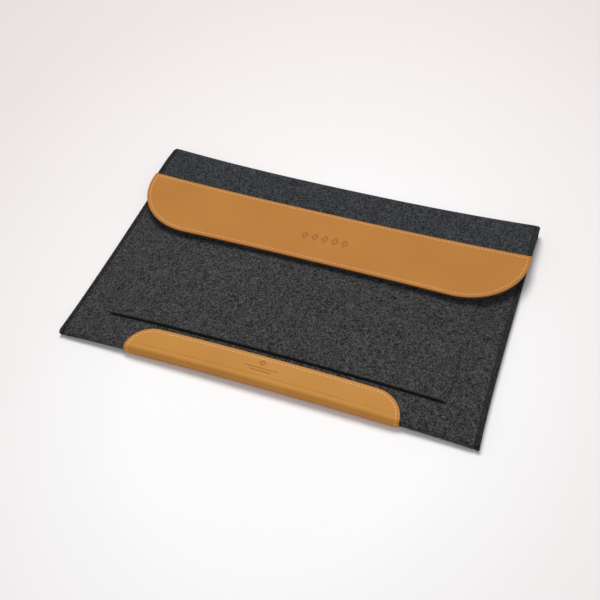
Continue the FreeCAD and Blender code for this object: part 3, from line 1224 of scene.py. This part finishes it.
def sew(name, line, lay, material, thread=THREAD, sink=0.1 * MM):
    """Copies a stitch along a line, in equal steps on the laid surface."""
    bm = bmesh.new()
    flat, travelled = along(line, lay)
    count = max(1, round(travelled[-1] / PITCH))
    step = travelled[-1] / count
    for i in range(count):
        start, middle, end = (
            place_at(flat, travelled, (i + share) * step)
            for share in (STITCH_ENDS[0], 0.5, STITCH_ENDS[1])
        )
        a, b = lay(*start), lay(*end)
        up = (lay(*middle, 1 * MM) - lay(*middle)).normalized()
        run = (b - a).normalized()
        side = up.cross(run).normalized()
        up = run.cross(side)
        turn = Matrix((run, side, up)).transposed().to_4x4()
        size = Matrix.Diagonal(((b - a).length / 2, thread / 2, thread * 0.42, 1))
        place = Matrix.Translation((a + b) / 2 - up * sink)
        bmesh.ops.create_uvsphere(bm, u_segments=8, v_segments=5, radius=1, matrix=place @ turn @ size)
    print(f"{count} stitches of {1000 * step:.2f} mm")
    return finish_piece(bm, name, material)


print(f"stitches {1000 * PITCH:.1f} mm apart, thread {1000 * THREAD:.2f} mm")

# %% [markdown]
# ## A seam with round corners
# Band and patch are both sewn parallel to an outline with two rounded corners. The line needs
# only the corners' arcs as points, since walking it fills in the straight stretches.

# %% Rounded seam line
def rounded_line(half, low, high, radius, closed=True, steps=14):
    """Points along an outline whose two corners at y low are rounded."""
    points = [(half, high), (half, low + radius)]
    for side, start in ((1, 0.0), (-1, 90.0)):
        for i in range(1, steps + 1):
            angle = math.radians(start + 90.0 * i / steps)
            centre = side * (half - radius)
            points.append((centre + radius * math.cos(angle), low + radius - radius * math.sin(angle)))
    points.append((-half, high))
    return points + [(half, high)] if closed else points


print("points of a rounded line:", len(rounded_line(20 * MM, 0, 30 * MM, 10 * MM)))

# %% [markdown]
# ## The band's thread
# The band is sewn all round, 2.3 mm inside its edge. The line is the outline again with every
# size made smaller by that inset, so it stays parallel to the edge round the corners.

# %% Sew the band
def on_band(x, y, height=0.0):
    return lay_on_flap(x, y, LEATHER + height)


line = rounded_line(
    BAND_HALF - STITCH_INSET, BAND_TIP + STITCH_INSET, BAND_HIGH.y - STITCH_INSET,
    BAND_RADIUS - STITCH_INSET,
)
band_thread = sew("band_thread", line, on_band, cream_thread)
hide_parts("band_stitching")
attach(band_thread, "flap")

# %% [markdown]
# ## The patch's thread
# One seam runs round the patch: up one side, across its upper edge, down, round the front fold
# and back under the case. Its flat line is two rounded ends joined, the second one mirrored. A
# slightly thicker thread is used, and under the case it is sunk, so that it doesn't lift the
# case off the table.

# %% Sew the patch
PATCH_THREAD = 0.66 * MM
UNDER_SINK = 0.3 * MM


def on_patch(x, y, height=0.0):
    """Upwards on the front is -y here; under the case the thread is sunk off the table."""
    return lay_on_nose(x, -y, LEATHER + height - UNDER_SINK * smooth((y - 2 * MM) / (2 * MM)))


half_patch = PATCH_HALF - STITCH_INSET
line = rounded_line(
    half_patch, -PATCH_RUN + STITCH_INSET, PATCH_UNDER - UNDER_RADIUS,
    PATCH_RADIUS - STITCH_INSET, closed=False,
)
under = rounded_line(
    half_patch, -PATCH_UNDER + STITCH_INSET, -PATCH_UNDER + UNDER_RADIUS,
    UNDER_RADIUS - STITCH_INSET, closed=False,
)
line += [(x, -y) for x, y in reversed(under)]
patch_thread = sew(
    "patch_thread", line, on_patch, cream_thread, thread=PATCH_THREAD,
)
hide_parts("patch_stitching")
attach(patch_thread, "root")

# %% [markdown]
# ## The pocket's thread
# The felt is sewn in black, and the pocket's seam runs round three of its sides. The thread
# sinks into soft felt more than into leather, so it lies in the channel that it pulled.

# %% Sew the pocket
FELT_THREAD = 0.45 * MM


def on_pocket(x, y, height=0.0):
    return lay_on_front(x, y, POCKET_FELT + height - 0.12 * MM - side_press(x))


low = POCKET_LOW.y + POCKET_SEAM
half = POCKET_HIGH.x - POCKET_SEAM
line = [(half, POCKET_HIGH.y), (half, low), (-half, low), (-half, POCKET_HIGH.y)]
pocket_thread = sew(
    "pocket_thread", line, on_pocket, black_thread, thread=FELT_THREAD,
)
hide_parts("pocket_stitching")
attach(pocket_thread, "root")

# %% [markdown]
# ## The side seams
# One row runs along each side of the case through both layers, with a last short row on each
# side of the flap, up to the leather. The left and right rows are mirror images, so a loop sews
# them, and each row stays a piece of its own.

# %% Sew the sides
SEAM_SINK = 0.45 * MM


def on_sides(x, y, height=0.0):
    return lay_on_front(x, y, height - SEAM_SINK)


def on_flap_sides(x, s, height=0.0):
    return flap_point(x, s) + outward(flap_point, x, s) * (height - SEAM_SINK)


flap_seam_end = FLAP_LENGTH - (BAND_HIGH.y - TIP) - 1 * MM
for name, sign in (("left", -1), ("right", 1)):
    line = [(sign * SEAM_X, FRONT + 4 * MM), (sign * SEAM_X, MOUTH - 2 * MM)]
    seam = sew(
        f"side_thread_{name}", line, on_sides, black_thread, thread=FELT_THREAD,
    )
    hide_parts(f"side_seam_{name}")
    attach(seam, "root")
    line = [(sign * SEAM_X, HALF_FOLD + 2 * MM), (sign * SEAM_X, flap_seam_end)]
    seam = sew(
        f"flap_thread_{name}", line, on_flap_sides, black_thread, thread=FELT_THREAD,
    )
    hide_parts(f"flap_seam_{name}")
    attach(seam, "flap")

# %% [markdown]
# ## Magnets
# Four small discs close the flap: two are buried in the flap's felt and two in the front. They
# can't be seen from outside, but the case needs them to work, so they are made and put where
# the felt holds them. A disc is a short cylinder with its two rims bevelled.

# %% Bury the magnets
magnet_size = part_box("flap_magnet_left")[1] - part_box("flap_magnet_left")[0]


def bury_magnet(part, side, felt_height, body_name):
    low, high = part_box(f"{part}_magnet_{side}")
    x, y = (low.x + high.x) / 2, (low.y + high.y) / 2
    bm = bmesh.new()
    bmesh.ops.create_cone(
        bm, cap_ends=True, segments=48, radius1=magnet_size.x / 2, radius2=magnet_size.x / 2,
        depth=magnet_size.z, matrix=Matrix.Translation((x, y, felt_height(x, y) - FELT / 2)),
    )
    rims = [e for e in bm.edges if e.calc_face_angle() > SHARP_ANGLE]
    bmesh.ops.bevel(
        bm, geom=rims, offset=0.2 * MM, segments=2, profile=0.5, affect="EDGES", material=-1,
    )
    piece = finish_piece(bm, f"{part}_disc_{side}", nickel)
    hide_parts(f"{part}_magnet_{side}")
    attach(piece, body_name)


for side in ("left", "right"):
    bury_magnet("flap", side, flap_height, "flap")
    bury_magnet("body", side, front_height, "root")

# %% [markdown]
# ## The felt's transforms
# The body's felt runs up to the middle of the back fold, where the flap's felt goes on to the
# flap. Here each of the two pieces only has its transform baked into its mesh: neither rides a
# body nor bends when the flap opens.

# %% Bake the felt's transforms
MIDDLE_FOLD = fold_height(0)
MIDDLE_BACK = fold_back(0)


def bend_zone(piece, start, end):
    """Bakes the piece's transform into its mesh. The start and the end are not used."""
    start, end = Vector((0, *start)), Vector((0, *end))
    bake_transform(piece)


fold_inside = (MIDDLE_BACK - FELT, MIDDLE_FOLD / 2)
bend_zone(body, (MIDDLE_BACK - MIDDLE_FOLD / 2, FELT), fold_inside)
bend_zone(flap, fold_inside,
          (MIDDLE_BACK - MIDDLE_FOLD / 2, MIDDLE_FOLD - FELT))

# %% [markdown]

# %% [markdown]
# ## Table
# The case lies on a plain pale table. Its colour is painted light: a pale pool in the middle
# that turns slightly warm and grey away from it, as the light falls off. A painted picture could
# do that, but a colour ramp over the distance from a point is enough. The distance is scaled a
# little more across than along, so the pale middle is an oval.

# %% Table
TABLE_HALF = 6.0
LIGHT_POOL_SCALE = (1.9, 1.5, 1.0)
LIGHT_POOL_MIDDLE = (-0.04, 0.12, 0.0)
bm = bmesh.new()
bmesh.ops.create_grid(bm, x_segments=1, y_segments=1, size=TABLE_HALF)
mesh = bpy.data.meshes.new("table")
bm.to_mesh(mesh)
bm.free()
table = bpy.data.objects.new("table", mesh)
bpy.context.scene.collection.objects.link(table)
board, tree, shader, place = new_material("Matt white board, painted light pool", 0.9, Specular_IOR_Level=0.1)
centred = node(tree, "ShaderNodeMapping", {"Scale": LIGHT_POOL_SCALE, "Location": LIGHT_POOL_MIDDLE, "Vector": place})
distance = node(tree, "ShaderNodeVectorMath", {"operation": "LENGTH", 0: centred}, "Value")
# Painted light: pale in the middle, falling off to a warm grey towards the edges.
pale = node(tree, "ShaderNodeValToRGB", {
    "Fac": distance,
    "stops": [(0.18, "FDFDFD"), (0.34, "F5F1F0"), (0.69, "E6E0DD"), (1.0, "DFD9D6")],
})
tree.links.new(pale, shader.inputs["Base Color"])
mesh.materials.append(board)
print(f"table {2 * TABLE_HALF:.0f} m wide")

# %% [markdown]
# ## Light
# The main light is a broad disc above and behind the case, a little to its left. It models the
# felt's surface and leaves a soft shadow along the front and the right edge. A weaker disc from
# the front keeps the leather's front face from going dark, and a pale, slightly blue
# surrounding light fills the rest. One broad sheet of daylight would light it too flatly.

# %% Lights
def area_light(name, place, size, power, colour):
    """A round area light that points at the middle of the case."""
    data = bpy.data.lights.new(name, "AREA")
    data.shape = "DISK"
    data.size = size
    data.energy = power
    data.color = linear(colour)[:3]
    lamp = bpy.data.objects.new(name, data)
    lamp.location = place
    lamp.rotation_euler = (-Vector(place)).to_track_quat("-Z", "Y").to_euler()
    bpy.context.scene.collection.objects.link(lamp)
    print(f"{name}: {power} W from {Vector(place).length:.1f} m")


area_light("key", (-0.36, 0.86, 1.95), 1.1, 35, "FFFDFA")
area_light("fill", (0.5, -0.9, 1.2), 1.2, 4.6, "FFFCF8")
world = bpy.data.worlds.new("studio")
world.use_nodes = True
world.node_tree.nodes["Background"].inputs["Color"].default_value = linear("ECF3FF")
world.node_tree.nodes["Background"].inputs["Strength"].default_value = 0.3
bpy.context.scene.world = world
bpy.context.scene.view_settings.view_transform = "Standard"

# %% [markdown]
# ## Camera
# The camera looks down on the case from the front and a little from the right. It is placed by
# two angles and a distance round a point near the middle, and then rolled slightly, because
# that is easier to adjust than a place and three turns.

# %% Camera
AZIMUTH, ELEVATION, ROLL = math.radians(23.21), math.radians(49.83), math.radians(-4.07)
DISTANCE = 632 * MM
TARGET = Vector((0.3 * MM, -14.5 * MM, 0))
back = Vector((
    math.sin(AZIMUTH) * math.cos(ELEVATION), -math.cos(AZIMUTH) * math.cos(ELEVATION),
    math.sin(ELEVATION),
))
data = bpy.data.cameras.new("camera")
data.sensor_width = 36.0
data.lens = 56.33
camera = bpy.data.objects.new("camera", data)
camera.location = TARGET + back * DISTANCE
level = Vector((0, 0, 1)).cross(back).normalized()
upright = back.cross(level)
right = level * math.cos(ROLL) + upright * math.sin(ROLL)
up = upright * math.cos(ROLL) - level * math.sin(ROLL)
camera.rotation_euler = Matrix((right, up, back)).transposed().to_euler()
bpy.context.scene.collection.objects.link(camera)
bpy.context.scene.camera = camera
print("camera at", tuple(round(v, 3) for v in camera.location), "with a", data.lens, "mm lens")
